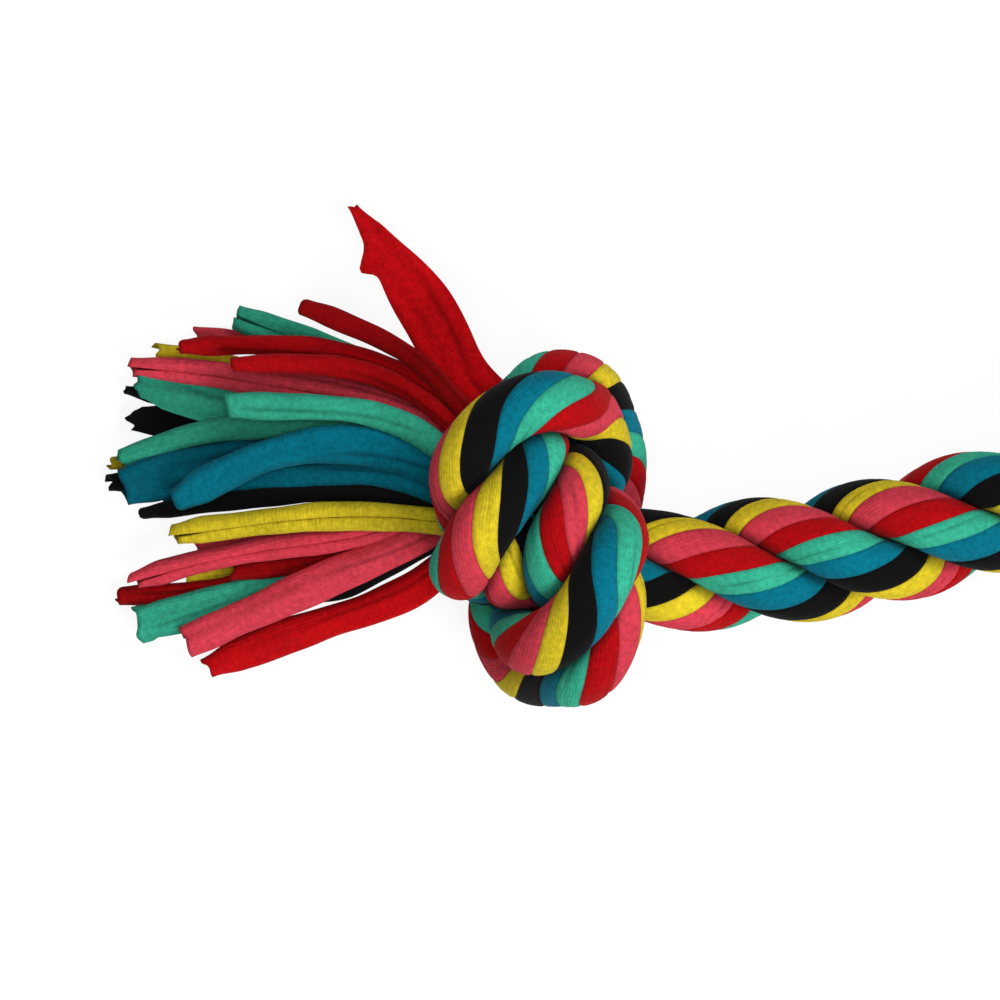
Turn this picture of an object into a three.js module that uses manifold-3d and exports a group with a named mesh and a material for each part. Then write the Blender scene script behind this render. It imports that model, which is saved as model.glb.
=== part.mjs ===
// Rope dog toy: three strands of cut T-shirt strips laid into one rope, with an overhand knot and a tassel
// at each end. Millimetres, +Z up. The toy lies along X on the plane z = 0.
// Its far end is its near end turned half round about Z.

import * as THREE from "three";
import { mergeVertices } from "three/addons/utils/BufferGeometryUtils.js";
import Module from "manifold-3d";

// Driving dimensions
const strandDiameter = 11.4;
const ropeLay = 67.6; // length of one full turn of the strands in the rope
const middleTurns = -1 / 6; // of the strands at the toy's middle, where the two halves' strands have to meet
const clearance = 0.4; // between neighbouring strands and strips
const knotCentre = [-97.9, -3.9, 30]; // middle of the near knot
const restFlat = 1.1; // depth to which the knots are pressed flat where they lie
const bendBallMargin = 3; // from the rope to the ball in which one stretch turns on the next
const bendStation = 38; // distance along X from the toy's middle to each side bend
const lockBallMargin = 0.8; // from a strand to the ball in which its lock of strips turns
const runningGap = 0.7; // between a ball and its seat
const stripDiameter = 5.4; // one rolled strip, past its root
const stripSwell = 14; // length over which a strip swells from its root to that diameter

// Fineness of the solids
const pathStep = 4;
const strandSides = 7;
const strandRingStep = 5;
const stripSides = 6;
const stripRings = 10;
const bendMeridians = 20;
const lockMeridians = 12;

// How strands and strips give way to each other: the share of an overlap by which each of two moves in a
// round, of the way back to its first place, and of the way to its neighbours' middle
const pressRounds = 300;
const pressPush = 0.22;
const pressMemory = 0.01;
const strandSmoothing = 0.25;
const stripSmoothing = 0.2;
const settlingRounds = 75; // the last ones, in which all but the push is eased
const settlingEase = 0.3;

// The rope's axis from the toy's middle to the near knot
const ropePoints = [
  [0, 0, 27.5],
  [-19.5, -5, 27.5],
  [-41.2, -9.8, 27.5],
  [-60, -12.2, 27.8],
];

// The rope's axis through the near knot, from the knot's middle. The turns are the strands' turns gained
// since the point before that gives them.
const knotPoints = [
  { at: [24, -8, -3] },
  { at: [8, -9, -4] },
  { at: [-6, -10, -4] },
  { at: [-13, -12, 2], turns: 0.337 },
  { at: [-18, -8, 11] },
  { at: [-18, 1, 18] },
  { at: [-13, 11, 20] },
  { at: [-5, 20, 16], turns: 0.4 },
  { at: [4, 25, 10] },
  { at: [11, 22, 0] },
  { at: [13, 13, -10] },
  { at: [10, 3, -18] },
  { at: [4, -6, -21] },
  { at: [-1, -14, -18] },
  { at: [-3, -23, -9] },
  { at: [0, -30, 2] },
  { at: [4, -28, 12] },
  { at: [9, -19, 18], turns: 1.12 },
  { at: [13, -8, 20] },
  { at: [13, 3, 18] },
  { at: [11, 9, 12] },
  { at: [6, 9, 5] },
  { at: [-1, 9, 0] },
  { at: [-10, 9, -2] },
  { at: [-24, 9, -2], turns: 0.828 },
];

const colours = {
  red: 0xc80a14,
  pink: 0xdc465a,
  yellow: 0xd7be28,
  black: 0x0c0c0c,
  blue: 0x007396,
  green: 0x46be96,
};
const strandColours = ["red", "blue", "yellow"];

// Strips of the near tassel by lock: the slot of its root, where each passes halfway along, and its cut tip.
// Slot 0 is in the middle of the strand's end, and slots 1 to 5 go round it.
const tassel = {
  upper: [
    { name: "red_leaf", slot: 2, colour: "red", halfway: [-123.5, 45.9, 19], tip: [-138.3, 66.5, 8] },
    { name: "red_stick", slot: 1, colour: "red", halfway: [-127.9, 36.2, 27], tip: [-148.7, 44.4, 20] },
    { name: "green_fork", slot: 3, colour: "green", halfway: [-147, 38.4, 10], tip: [-163.2, 43.3, 6] },
    { name: "red_upper", slot: 0, colour: "red", halfway: [-149.5, 37.3, 17], tip: [-176.2, 36.2, 12] },
    { name: "red_mid", slot: 5, colour: "red", halfway: [-143, 33, 23], tip: [-164.5, 31.5, 20] },
    { name: "pink_upper", slot: 4, colour: "pink", halfway: [-153.9, 28.5, 13], tip: [-187.4, 31.6, 5] },
  ],
  top: [
    { name: "green_main", slot: 1, colour: "green", halfway: [-134, 23.5, 29], tip: [-165.6, 23.2, 21] },
    { name: "green_lower", slot: 2, colour: "green", halfway: [-155, 20.5, 17], tip: [-188.7, 12.5, 5] },
    { name: "blue_wide", slot: 5, colour: "blue", halfway: [-145, 15, 24], tip: [-173.8, 5, 15] },
    { name: "blue_lower", slot: 0, colour: "blue", halfway: [-142, 9.1, 20], tip: [-182, 5, 5] },
    { name: "black_mid", slot: 3, colour: "black", halfway: [-147, 4.3, 21], tip: [-185, -1, 8] },
    { name: "yellow_main", slot: 4, colour: "yellow", halfway: [-140, 0, 25], tip: [-176.4, -3.9, 16] },
  ],
  lower: [
    { name: "pink_mid", slot: 1, colour: "pink", halfway: [-150, -6.5, 16], tip: [-186.4, -13.5, 6] },
    { name: "red_low", slot: 2, colour: "red", halfway: [-152, -11, 9], tip: [-189.8, -19, 3] },
    { name: "green_low", slot: 3, colour: "green", halfway: [-152, -15, 6], tip: [-184.6, -25.6, 3] },
    { name: "pink_low", slot: 5, colour: "pink", halfway: [-145.2, -14.7, 16], tip: [-173.8, -28, 9] },
    { name: "red_bottom", slot: 4, colour: "red", halfway: [-138.7, -21.7, 11], tip: [-167.9, -33.6, 4] },
    { name: "black_low", slot: 0, colour: "black", halfway: [-139, -10, 10], tip: [-160, -17, 4] },
  ],
};

// Derived sizes
const strandRadius = strandDiameter / 2;
const strandCount = 3;
const rootSlots = 5; // round the middle one
const spacing = strandDiameter + clearance;
const layRadius = helixRadius(spacing, ropeLay);
const bendBallRadius = layRadius + strandRadius + bendBallMargin;
const lockBallRadius = strandRadius + lockBallMargin;
const stripRadius = stripDiameter / 2;
const stripRootRadius = (strandRadius - 1.5 * clearance) / 3; // one strip with five round it fill a strand
const stripRootRing = 2 * stripRootRadius + clearance;
const strandNumbers = Array.from({ length: strandCount }, (_, k) => k);
const knotMiddle = vector(knotCentre);
const route = [...ropePoints.map(vector), ...knotPoints.map((p) => vector(p.at).add(knotMiddle))];
const axis = spaced(route, pathStep);
const axisLength = axis.slice(1).reduce((sum, p, k) => sum + p.distanceTo(axis[k]), 0);
const floorSpan = 4 * axisLength; // wider than the toy
const upward = new THREE.Vector3(0, 0, 1);
const sideways = new THREE.Vector3(0, 1, 0);
const wasm = await Module();
wasm.setup();

// Radius of the helix on which three strands lie just their spacing apart
function helixRadius(distance, lay) {
  const step = lay / 400;
  const gap = (radius) => {
    let least = Infinity;
    for (let along = 0; along < lay / 4; along += step) {
      const angle = (2 * Math.PI) / strandCount - (2 * Math.PI * along) / lay;
      least = Math.min(least, Math.hypot(2 * radius * Math.sin(angle / 2), along));
    }
    return least;
  };
  let low = 0;
  let high = 4 * distance;
  for (let k = 0; k < 50; k++) {
    const middle = (low + high) / 2;
    if (gap(middle) < distance) low = middle;
    else high = middle;
  }
  return high;
}

function vector(p) {
  return new THREE.Vector3(...p);
}

function halfTurn(p) {
  return new THREE.Vector3(-p.x, -p.y, p.z);
}

// Evenly spaced points on the smooth curve through some points
function spaced(points, step) {
  const curve = new THREE.CatmullRomCurve3(points, false, "catmullrom", 0.5);
  curve.arcLengthDivisions = 40 * points.length;
  return curve.getSpacedPoints(Math.max(2, Math.round(curve.getLength() / step)));
}

// Directions along a line of points, and a normal carried along it without twist
function frames(points, firstNormal) {
  const tangents = points.map((p, k) => {
    const before = points[Math.max(0, k - 1)];
    const after = points[Math.min(points.length - 1, k + 1)];
    return after.clone().sub(before).normalize();
  });
  const normals = [];
  let normal = firstNormal;
  for (const tangent of tangents) {
    normal = normal.clone().addScaledVector(tangent, -normal.dot(tangent)).normalize();
    normals.push(normal);
  }
  return { tangents, normals, sides: tangents.map((t, k) => t.clone().cross(normals[k])) };
}

// Chains of balls push each other apart until they no longer overlap, stay smooth, and stay above the floor.
// A ball that holds doesn't move.
function pressApart(balls, smoothing, floor) {
  const home = balls.map((b) => b.at.clone());
  const pairs = [];
  balls.forEach((a, i) => {
    for (let j = i + 1; j < balls.length; j++) {
      const b = balls[j];
      const along = a.chain === b.chain ? Math.abs(a.place - b.place) * a.step : Infinity;
      const neighbours = along < 2 * (a.radius + b.radius);
      if (!neighbours && !(a.holds && b.holds)) pairs.push([i, j, a.radius + b.radius + clearance]);
    }
  });
  for (let round = 0; round < pressRounds; round++) {
    const ease = round < pressRounds - settlingRounds ? 1 : settlingEase;
    const moves = balls.map((b, i) => {
      const before = balls[i - 1];
      const after = balls[i + 1];
      const move = home[i].clone().sub(b.at).multiplyScalar(pressMemory * ease);
      if (before && after && before.chain === b.chain && after.chain === b.chain) {
        const middle = before.at.clone().add(after.at).multiplyScalar(0.5);
        move.addScaledVector(middle.sub(b.at), smoothing * ease);
      }
      return move;
    });
    for (const [i, j, distance] of pairs) {
      const apart = balls[i].at.clone().sub(balls[j].at);
      const length = apart.length() + 1e-9;
      if (length >= distance) continue;
      apart.multiplyScalar((pressPush * (distance - length)) / length);
      moves[i].add(apart);
      moves[j].sub(apart);
    }
    balls.forEach((b, i) => {
      if (b.holds) return;
      b.at.add(moves[i]);
      b.at.z = Math.max(b.at.z, floor + b.radius);
    });
  }
}

// Length along the rope's axis to the point nearest a place
function arcAt(place) {
  const distances = axis.map((p) => p.distanceTo(place));
  return (axisLength * distances.indexOf(Math.min(...distances))) / (axis.length - 1);
}

// Turns that the strands have made about the rope's axis, at each length along it
function turnsAlong() {
  const entry = arcAt(route[ropePoints.length]);
  const stations = [
    { arc: 0, turns: middleTurns },
    { arc: entry, turns: middleTurns + entry / ropeLay },
  ];
  for (const point of knotPoints) {
    if (!point.turns) continue;
    const last = stations[stations.length - 1];
    stations.push({ arc: arcAt(vector(point.at).add(knotMiddle)), turns: last.turns + point.turns });
  }
  return axis.map((_, k) => {
    const arc = (axisLength * k) / (axis.length - 1);
    const after = stations.find((station) => station.arc >= arc && station.arc > 0) ?? stations.at(-1);
    const before = stations[stations.indexOf(after) - 1];
    return before.turns + ((after.turns - before.turns) * (arc - before.arc)) / (after.arc - before.arc);
  });
}

// Strands of the near half as chains of balls, from the toy's middle to the knot's tail
function layStrands() {
  const turns = turnsAlong();
  const { normals, sides } = frames(axis, upward);
  const balls = strandNumbers.flatMap((strand) =>
    axis.map((p, k) => {
      const angle = 2 * Math.PI * (turns[k] + strand / strandCount);
      const at = p.clone();
      at.addScaledVector(normals[k], layRadius * Math.cos(angle));
      at.addScaledVector(sides[k], layRadius * Math.sin(angle));
      const holds = k * pathStep < ropeLay / 2 || k > axis.length - 3;
      return { at, chain: strand, place: k, step: pathStep, radius: strandRadius, holds };
    }),
  );
  pressApart(balls, strandSmoothing, -restFlat);
  return balls;
}

// Place of the near side bend on the rope's axis, and the rope's direction there towards the near end
function sideBend() {
  const k = axis.findIndex((p) => p.x < -bendStation);
  const share = (axis[k - 1].x + bendStation) / (axis[k - 1].x - axis[k].x);
  const at = axis[k - 1].clone().lerp(axis[k], share);
  return { at, direction: axis[k].clone().sub(axis[k - 1]).normalize() };
}

// Radii of chains of balls once each gives way to what it still touches, so that all keep the clearance
function pressedRadii(balls) {
  return balls.map((a) => {
    let radius = a.radius;
    for (const b of balls) {
      const along = a.chain === b.chain ? Math.abs(a.place - b.place) * a.step : Infinity;
      if (along < 2 * (a.radius + b.radius)) continue;
      const distance = a.at.distanceTo(b.at) - clearance;
      const even = (distance * a.radius) / (a.radius + b.radius);
      const share = b.holds === a.holds ? even : distance - b.radius;
      if (!a.holds || b.holds) radius = Math.min(radius, share);
    }
    return radius;
  });
}

// Closed solid of round sections set square to a line of points
function sweep(points, radii, sideCount) {
  const across = Math.abs(points[1].z - points[0].z) < points[0].distanceTo(points[1]) / 2;
  const { normals, sides } = frames(points, across ? upward : sideways);
  const positions = [];
  points.forEach((p, k) => {
    for (let side = 0; side < sideCount; side++) {
      const angle = (2 * Math.PI * side) / sideCount;
      const q = p.clone().addScaledVector(normals[k], radii[k] * Math.cos(angle));
      q.addScaledVector(sides[k], radii[k] * Math.sin(angle));
      positions.push(q.x, q.y, q.z);
    }
  });
  const index = [];
  for (let k = 0; k + 1 < points.length; k++) {
    for (let side = 0; side < sideCount; side++) {
      const next = (side + 1) % sideCount;
      const a = k * sideCount + side;
      const b = k * sideCount + next;
      index.push(a, b, b + sideCount, a, b + sideCount, a + sideCount);
    }
  }
  const last = (points.length - 1) * sideCount;
  for (let side = 1; side + 1 < sideCount; side++) {
    index.push(0, side + 1, side);
    index.push(last, last + side, last + side + 1);
  }
  const geometry = new THREE.BufferGeometry();
  geometry.setAttribute("position", new THREE.Float32BufferAttribute(positions, 3));
  geometry.setIndex(index);
  return geometry;
}

// A line of points and its radii at wider steps
function thinned(points, radii, step) {
  const fewer = spaced(points, step);
  const fewerRadii = fewer.map((_, k) => {
    const place = (k / (fewer.length - 1)) * (points.length - 1);
    const before = Math.min(points.length - 2, Math.floor(place));
    return Math.min(radii[before], radii[before + 1]);
  });
  return [fewer, fewerRadii];
}

// Joins and cuts
function solid(geometry) {
  const loose = geometry.index ? geometry.toNonIndexed() : geometry;
  const bare = new THREE.BufferGeometry().setAttribute("position", loose.getAttribute("position"));
  const merged = mergeVertices(bare, 1e-4);
  return new wasm.Manifold(
    new wasm.Mesh({
      numProp: 3,
      vertProperties: merged.getAttribute("position").array,
      triVerts: new Uint32Array(merged.index.array),
    }),
  );
}

function geometryOf(body) {
  const mesh = body.getMesh();
  const geometry = new THREE.BufferGeometry();
  geometry.setAttribute("position", new THREE.BufferAttribute(mesh.vertProperties, 3));
  geometry.setIndex(new THREE.BufferAttribute(mesh.triVerts, 1));
  return geometry;
}

function ball(centre, radius, meridians) {
  const sphere = new THREE.SphereGeometry(radius, meridians, Math.round(meridians / 2));
  return solid(sphere.translate(centre.x, centre.y, centre.z));
}

// All beyond the middle of a bend that lies outside its ball
function beyondBall(bend, direction) {
  const size = 5 * bendBallRadius;
  const block = new THREE.BoxGeometry(size, size, size).translate(size / 2, 0, 0);
  block.applyQuaternion(new THREE.Quaternion().setFromUnitVectors(new THREE.Vector3(1, 0, 0), direction));
  block.translate(bend.x, bend.y, bend.z);
  return solid(block).subtract(ball(bend, bendBallRadius, bendMeridians));
}

// Strips of one tassel lock: their roots packed in the end of a strand, one in the middle and five round it
function stripLines(strips, strand) {
  const end = strand[strand.length - 1];
  const tail = frames(strand.slice(-3), upward);
  const tangent = tail.tangents[2];
  const normal = tail.normals[2];
  const side = tail.sides[2];
  const seatRadius = lockBallRadius - runningGap;
  return strips.map((strip) => {
    const out = strip.slot ? stripRootRing : 0;
    const angle = (2 * Math.PI * strip.slot) / rootSlots;
    const root = end.clone().addScaledVector(normal, out * Math.cos(angle));
    root.addScaledVector(side, out * Math.sin(angle));
    const depth = Math.sqrt(seatRadius ** 2 - (out + stripRootRadius) ** 2);
    const inner = root.clone().addScaledVector(tangent, -depth);
    const outer = root.clone().addScaledVector(tangent, stripRootRadius);
    const line = [inner, outer, vector(strip.halfway), vector(strip.tip)];
    const curve = new THREE.CatmullRomCurve3(line, false, "catmullrom", 0.5);
    return { ...strip, points: curve.getSpacedPoints(2 * stripRings) };
  });
}

function makeMesh(name, geometry, colour) {
  const material = new THREE.MeshStandardMaterial({ color: colours[colour], roughness: 0.9, metalness: 0 });
  const mesh = new THREE.Mesh(geometry, material);
  mesh.name = name;
  return mesh;
}

// The near half
const strandBalls = layStrands();
const radiiOfBalls = pressedRadii(strandBalls);
const nearStrands = strandNumbers.map((strand) => ({
  points: strandBalls.filter((b) => b.chain === strand).map((b) => b.at),
  radii: radiiOfBalls.filter((_, k) => strandBalls[k].chain === strand),
}));
const tails = nearStrands.map((strand) => strand.points[strand.points.length - 1]);
const topStrand = tails.indexOf(tails.reduce((a, b) => (b.z > a.z ? b : a)));
const others = strandNumbers.filter((k) => k !== topStrand).sort((a, b) => tails[b].y - tails[a].y);
const strandOfLock = { upper: others[0], top: topStrand, lower: others[1] };
const bendNear = sideBend();
const middle = vector(ropePoints[0]);

const nearGroup = new THREE.Group();
const underFloor = new THREE.BoxGeometry(floorSpan, floorSpan, floorSpan).translate(0, 0, -floorSpan / 2);
const floorBlock = solid(underFloor);
const bendSeat = ball(bendNear.at, bendBallRadius + runningGap, bendMeridians);
nearStrands.forEach((strand, k) => {
  const first = strand.points.findIndex((p) => p.x < bendNear.at.x - pathStep);
  const [points, radii] = thinned(strand.points.slice(first), strand.radii.slice(first), strandRingStep);
  const lockSeat = ball(tails[k], lockBallRadius, lockMeridians);
  const whole = solid(sweep(points, radii, strandSides));
  const body = whole.subtract(bendSeat).subtract(lockSeat).subtract(floorBlock);
  nearGroup.add(makeMesh("near_strand_" + (k + 1), geometryOf(body), strandColours[k]));
});

const stripBalls = [];
const obstacles = nearStrands.flatMap((strand, k) => {
  const shared = { chain: "strand" + k, step: pathStep, holds: true };
  const all = strand.points.map((at, place) => ({ ...shared, at, place, radius: strand.radii[place] }));
  return all.filter((b) => b.at.distanceTo(tails[k]) > lockBallRadius + pathStep / 2);
});
const lines = Object.entries(tassel).flatMap(([lock, strips]) =>
  stripLines(strips, nearStrands[strandOfLock[lock]].points).map((line) => ({ ...line, lock })),
);
lines.forEach((line, chain) => {
  const step = line.points[0].distanceTo(line.points[1]);
  line.points.forEach((at, place) => {
    const grown = Math.min(1, (place * step) / stripSwell);
    const radius = stripRootRadius + (stripRadius - stripRootRadius) * grown;
    stripBalls.push({ at, chain, place, step, radius, holds: place < 2 });
  });
});
const allBalls = [...stripBalls, ...obstacles];
pressApart(allBalls, stripSmoothing, 0);
const stripRadii = pressedRadii(allBalls);
lines.forEach((line, chain) => {
  const first = stripBalls.findIndex((b) => b.chain === chain);
  const rings = Array.from({ length: stripRings + 1 }, (_, k) => 2 * k);
  const points = rings.map((k) => line.points[k]);
  const radii = rings.map((k) => {
    const before = first + Math.max(0, k - 1);
    const after = first + Math.min(line.points.length - 1, k + 1);
    return Math.min(...stripRadii.slice(before, after + 1));
  });
  const name = "near_" + line.lock + "_" + line.name;
  nearGroup.add(makeMesh(name, sweep(points, radii, stripSides), line.colour));
});

// Number of the near strand whose half-turned copy carries on strand k past the toy's middle
function twinOf(k) {
  return (strandCount + 1 - k) % strandCount;
}

// The rope's middle stretches, on which the two ends turn
const wholeStrands = nearStrands.map((strand, k) => {
  const twin = nearStrands[twinOf(k)];
  return {
    points: [...twin.points.map(halfTurn).reverse(), ...strand.points.slice(1)],
    radii: [...twin.radii.slice().reverse(), ...strand.radii.slice(1)],
  };
});

function stretch(strand, fromX, toX) {
  const inside = (_, k) => strand.points[k].x > fromX && strand.points[k].x < toX;
  const points = strand.points.filter(inside);
  const radii = strand.radii.filter(inside);
  return solid(sweep(...thinned(points, radii, strandRingStep), strandSides));
}

const middleGroup = new THREE.Group();
const middleDirection = axis[1].clone().sub(axis[0]).normalize();
const pastBend = bendStation + bendBallRadius + pathStep;
const pastMiddle = bendBallRadius + pathStep;
const middleSeat = ball(middle, bendBallRadius + runningGap, bendMeridians);
const pastNearBend = beyondBall(bendNear.at, bendNear.direction);
const pastFarBend = beyondBall(halfTurn(bendNear.at), halfTurn(bendNear.direction));
const pastMiddleBend = beyondBall(middle, middleDirection);
wholeStrands.forEach((strand, k) => {
  const near = stretch(strand, -pastBend, -pathStep).subtract(pastNearBend).subtract(middleSeat);
  const far = stretch(strand, -pastMiddle, pastBend).subtract(pastMiddleBend).subtract(pastFarBend);
  middleGroup.add(makeMesh("middle_near_strand_" + (k + 1), geometryOf(near), strandColours[k]));
  middleGroup.add(makeMesh("middle_far_strand_" + (k + 1), geometryOf(far), strandColours[k]));
});

// The far end: the near end turned half round, with each strand's number kept from end to end
const farGroup = new THREE.Group();
farGroup.rotation.z = Math.PI;
nearGroup.children.forEach((mesh) => {
  const copy = mesh.clone();
  copy.material = mesh.material.clone();
  copy.name = mesh.name.replace("near_", "far_");
  farGroup.add(copy);
});
nearStrands.forEach((_, k) => {
  const mesh = farGroup.children[twinOf(k)];
  mesh.name = "far_strand_" + (k + 1);
  mesh.material.color.set(colours[strandColours[k]]);
});

const toy = new THREE.Group();
toy.add(nearGroup, middleGroup, farGroup);

export default toy;
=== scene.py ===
import bpy
import numpy as np
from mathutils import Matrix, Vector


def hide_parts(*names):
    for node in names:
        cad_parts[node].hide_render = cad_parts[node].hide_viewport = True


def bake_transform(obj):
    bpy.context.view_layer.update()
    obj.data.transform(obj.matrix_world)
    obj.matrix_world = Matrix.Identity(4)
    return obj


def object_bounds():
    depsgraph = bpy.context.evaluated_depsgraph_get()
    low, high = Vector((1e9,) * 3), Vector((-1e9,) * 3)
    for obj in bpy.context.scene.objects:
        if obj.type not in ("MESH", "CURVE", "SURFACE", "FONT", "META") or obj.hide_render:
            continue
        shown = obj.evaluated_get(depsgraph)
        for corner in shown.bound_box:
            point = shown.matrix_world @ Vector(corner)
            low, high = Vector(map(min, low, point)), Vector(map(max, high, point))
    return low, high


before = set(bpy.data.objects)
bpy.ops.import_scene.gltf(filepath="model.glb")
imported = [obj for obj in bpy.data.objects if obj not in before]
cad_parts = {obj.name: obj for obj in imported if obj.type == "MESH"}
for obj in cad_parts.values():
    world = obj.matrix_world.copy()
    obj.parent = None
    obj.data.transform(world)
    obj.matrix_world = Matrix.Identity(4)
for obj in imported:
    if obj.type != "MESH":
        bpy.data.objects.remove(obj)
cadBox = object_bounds()
mm = 0.001
print("frame loaded:", len(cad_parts), "solids")


def placed(name, data):
    made = bpy.data.objects.new(name, data)
    bpy.context.scene.collection.objects.link(made)
    return made


def nodesOf(owner):
    owner.use_nodes = True
    return owner.node_tree.nodes, owner.node_tree.links


# camera: straight down on the end that the photo shows

view = {
    "aim": (-106.2, 2.6, 32.0),  # middle of the photo, at the height of the knot's upper half, mm
    "width": 216.7,  # of the photo's frame at that height, mm
    "distance": 1600.0,  # mm
    "sensor": 36,  # mm
    "clipEnd": 20,  # m
}


def makeCamera():
    data = bpy.data.cameras.new("photoCamera")
    data.sensor_width = view["sensor"]
    data.lens = view["sensor"] * view["distance"] / view["width"]
    data.clip_end = view["clipEnd"]
    camera = placed("photoCamera", data)
    camera.location = np.add(view["aim"], (0, 0, view["distance"])) * mm
    bpy.context.scene.camera = camera


makeCamera()

# lines and frames that rope and strips share

cubicCuts = 40  # parts that one cubic is cut into
floorGap = 0.02  # least height of the jersey above the floor, mm


def arcsOf(line):
    # length along the line from its start to each of its points
    return np.concatenate([[0], np.cumsum(np.linalg.norm(np.diff(line, axis=0), axis=1))])


def evenLine(line, step):
    along = arcsOf(line)
    at = np.linspace(0, along[-1], max(2, round(along[-1] / step)) + 1)
    return np.stack([np.interp(at, along, line[:, k]) for k in range(3)], 1)


def smoothLine(points, step):
    # Catmull-Rom cubics through the points, cut into equal lengths
    p = np.asarray(points, float)
    q = np.vstack([2 * p[0] - p[1], p, 2 * p[-1] - p[-2]])
    t = np.linspace(0, 1, cubicCuts, endpoint=False)[None, :, None]
    a, b, c, d = (q[k:len(p) - 1 + k, None] for k in range(4))
    cubic = 2 * b + (c - a) * t + (2 * a - 5 * b + 4 * c - d) * t**2 + (3 * b - a - 3 * c + d) * t**3
    return evenLine(np.vstack([0.5 * cubic.reshape(-1, 3), p[-1:]]), step)


def softened(line, rounds):
    # each round takes every inner point halfway to the middle of its two neighbours
    line = line.copy()
    for _ in range(rounds):
        line[1:-1] += 0.25 * (line[:-2] + line[2:] - 2 * line[1:-1])
    return line


def unit(v):
    return v / np.maximum(np.linalg.norm(v, axis=-1, keepdims=True), 1e-12)


def carriedFrame(line, firstNormal):
    # direction along the line, a normal carried along it without twist, and the side square to both
    along = unit(np.gradient(line, axis=0))
    normal = np.empty_like(along)
    n = np.asarray(firstNormal, float)
    for k, t in enumerate(along):
        n = unit(n - t * (n @ t))
        normal[k] = n
    return along, normal, np.cross(along, normal)


def eased(x):
    x = np.clip(x, 0, 1)
    return x * x * (3 - 2 * x)


def bell(x, width):
    return np.exp(-((x / width) ** 2))


press = {
    "rounds": 300,
    "push": 0.22,  # share of an overlap by which each ball gives way
    "memory": 0.01,  # share of the way home
    "settling": 75,  # last rounds, with less memory and smoothing
    "ease": 0.3,  # what is left of these
    "clearance": 0.4,  # between two surfaces, mm
    "horizon": 15.0,  # most room at the start between balls that may meet, mm
}


def pressApart(chains, smoothing, floor):
    # chains of balls, each as points, step, radius and which are held: a ball moves by a share
    # of every overlap, of the way home and of the way to the middle between its neighbours
    lists = []
    for number, (points, step, radius, held) in enumerate(chains):
        even = np.ones(len(points))
        held = np.broadcast_to(held, len(points))
        lists.append((points, number * even, np.arange(len(points)), step * even, radius * even, held))
    at, chain, place, step, radius, holds = (np.concatenate(column) for column in zip(*lists))
    home = at.copy()
    count = len(at)
    one, two = np.triu_indices(count, 1)
    reach = radius[one] + radius[two] + press["clearance"]
    along = np.abs(place[one] - place[two]) * step[one]
    apart = (chain[one] != chain[two]) | (along >= 2 * (radius[one] + radius[two]))
    close = np.linalg.norm(at[one] - at[two], axis=1) < reach + press["horizon"]
    kept = apart & close & ~(holds[one] & holds[two])
    one, two, reach = one[kept], two[kept], reach[kept]
    inner = np.zeros(count, bool)
    inner[1:-1] = (chain[:-2] == chain[1:-1]) & (chain[2:] == chain[1:-1])
    for k in range(press["rounds"]):
        ease = 1 if k < press["rounds"] - press["settling"] else press["ease"]
        move = press["memory"] * ease * (home - at)
        middle = np.zeros_like(at)
        middle[1:-1] = 0.5 * (at[:-2] + at[2:]) - at[1:-1]
        move += smoothing * ease * middle * inner[:, None]
        gap = at[one] - at[two]
        length = np.sqrt((gap**2).sum(1)) + 1e-9
        push = gap * (press["push"] * np.maximum(reach - length, 0) / length)[:, None]
        for c in range(3):
            move[:, c] += np.bincount(one, push[:, c], count) - np.bincount(two, push[:, c], count)
        at = at + move * ~holds[:, None]
        at[:, 2] = np.where(holds, at[:, 2], np.maximum(at[:, 2], floor + radius))
    return [at[chain == k] for k in range(len(chains))]


# the rope's route and its three strands, as the solids have them, mm

rope = {
    "strandRadius": 5.7,
    "lay": 67.6,  # length of one full turn of the strands
    "pathStep": 4.0,
    "smoothing": 0.25,
    "heldTail": 3,  # places at a strand's end that aren't pressed
    "restFlat": 1.1,  # depth by which a knot is pressed flat where it lies
    "points": [(0, 0, 27.5), (-19.5, -5, 27.5), (-41.2, -9.8, 27.5), (-60, -12.2, 27.8)],
    "knotCentre": (-97.9, -3.9, 30.0),
    "knotPoints": [  # from the knot's middle
        (24, -8, -3), (8, -9, -4), (-6, -10, -4), (-13, -12, 2), (-18, -8, 11), (-18, 1, 18), (-13, 11, 20),
        (-5, 20, 16), (4, 25, 10), (11, 22, 0), (13, 13, -10), (10, 3, -18), (4, -6, -21), (-1, -14, -18),
        (-3, -23, -9), (0, -30, 2), (4, -28, 12), (9, -19, 18), (13, -8, 20), (13, 3, 18), (11, 9, 12),
        (6, 9, 5), (-1, 9, 0), (-10, 9, -2), (-24, 9, -2),
    ],
    "middleTurns": -1 / 6,  # of the strands at the rope's middle
    "turns": {3: 0.337, 7: 0.4, 17: 1.12, 24: 0.828},  # gained by the strands up to these knot points
}


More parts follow.
